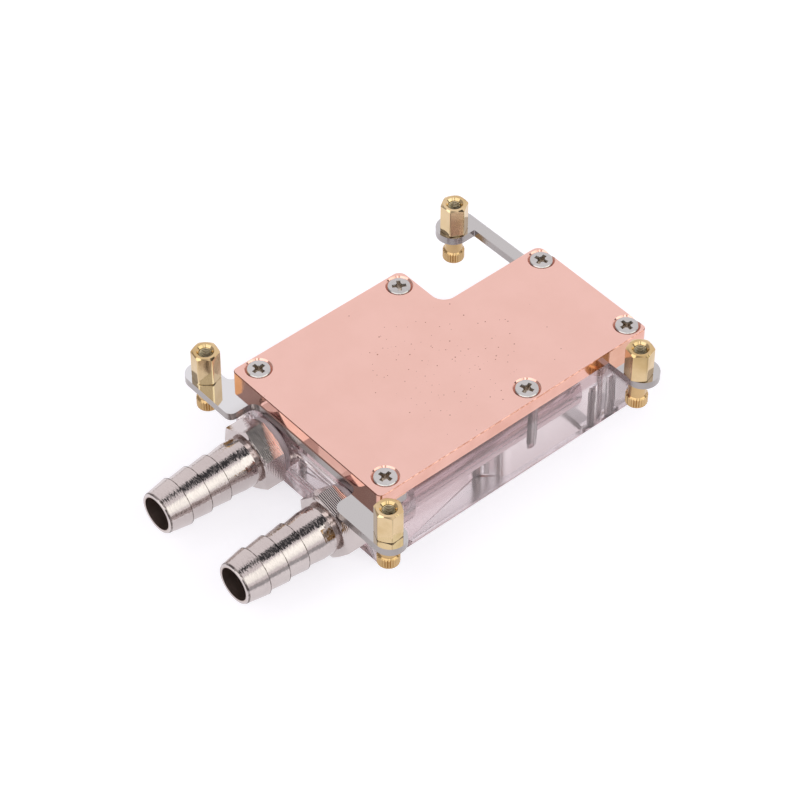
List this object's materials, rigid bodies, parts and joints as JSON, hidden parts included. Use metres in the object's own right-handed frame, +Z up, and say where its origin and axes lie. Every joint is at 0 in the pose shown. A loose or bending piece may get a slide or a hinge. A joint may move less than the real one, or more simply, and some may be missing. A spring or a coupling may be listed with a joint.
{
  "type": "cpu water block",
  "caption": "Liquid cooling block for a processor: copper cold plate on a clear body, steel brackets with brass standoffs, barbed hose fittings.",
  "frame": {"origin": "middle of the block's outline on the clear body's lower face", "axes": "+Z up out of the copper face, barbs point to -Y, +X to the right seen from above with the barbs towards you"},
  "size_m": [0.0724, 0.1126, 0.0267],
  "materials": {
    "copper_plate": "satin copper with fine pits, bright sawn edges",
    "clear_acrylic": "clear, polished",
    "seal_rubber": "matte",
    "bracket_steel": "mirror faces, rough cut edges",
    "screw_steel": "satin nickel plate",
    "standoff_brass": "drawn bar, bright",
    "nut_brass": "turned",
    "fitting_nickel": "bright nickel plate over turned brass",
    "ring_rubber": "matte"
  },
  "bodies": {
    "root": {"cold_plate": "copper_plate", "clear_body": "clear_acrylic", "plate_seal": "seal_rubber", "front_bracket": "bracket_steel", "rear_bracket": "bracket_steel", "inlet_fitting": "fitting_nickel", "outlet_fitting": "fitting_nickel", "inlet_seal": "ring_rubber", "outlet_seal": "ring_rubber", "plate_screw_front_left": "screw_steel", "plate_screw_front_right": "screw_steel", "plate_screw_middle_left": "screw_steel", "plate_screw_middle_right": "screw_steel", "plate_screw_rear_left": "screw_steel", "plate_screw_rear_right": "screw_steel", "standoff_front_left": "standoff_brass", "knurled_nut_front_left": "nut_brass", "standoff_front_right": "standoff_brass", "knurled_nut_front_right": "nut_brass", "standoff_rear_left": "standoff_brass", "knurled_nut_rear_left": "nut_brass", "standoff_rear_right": "standoff_brass", "knurled_nut_rear_right": "nut_brass"}
  },
  "joints": []
}
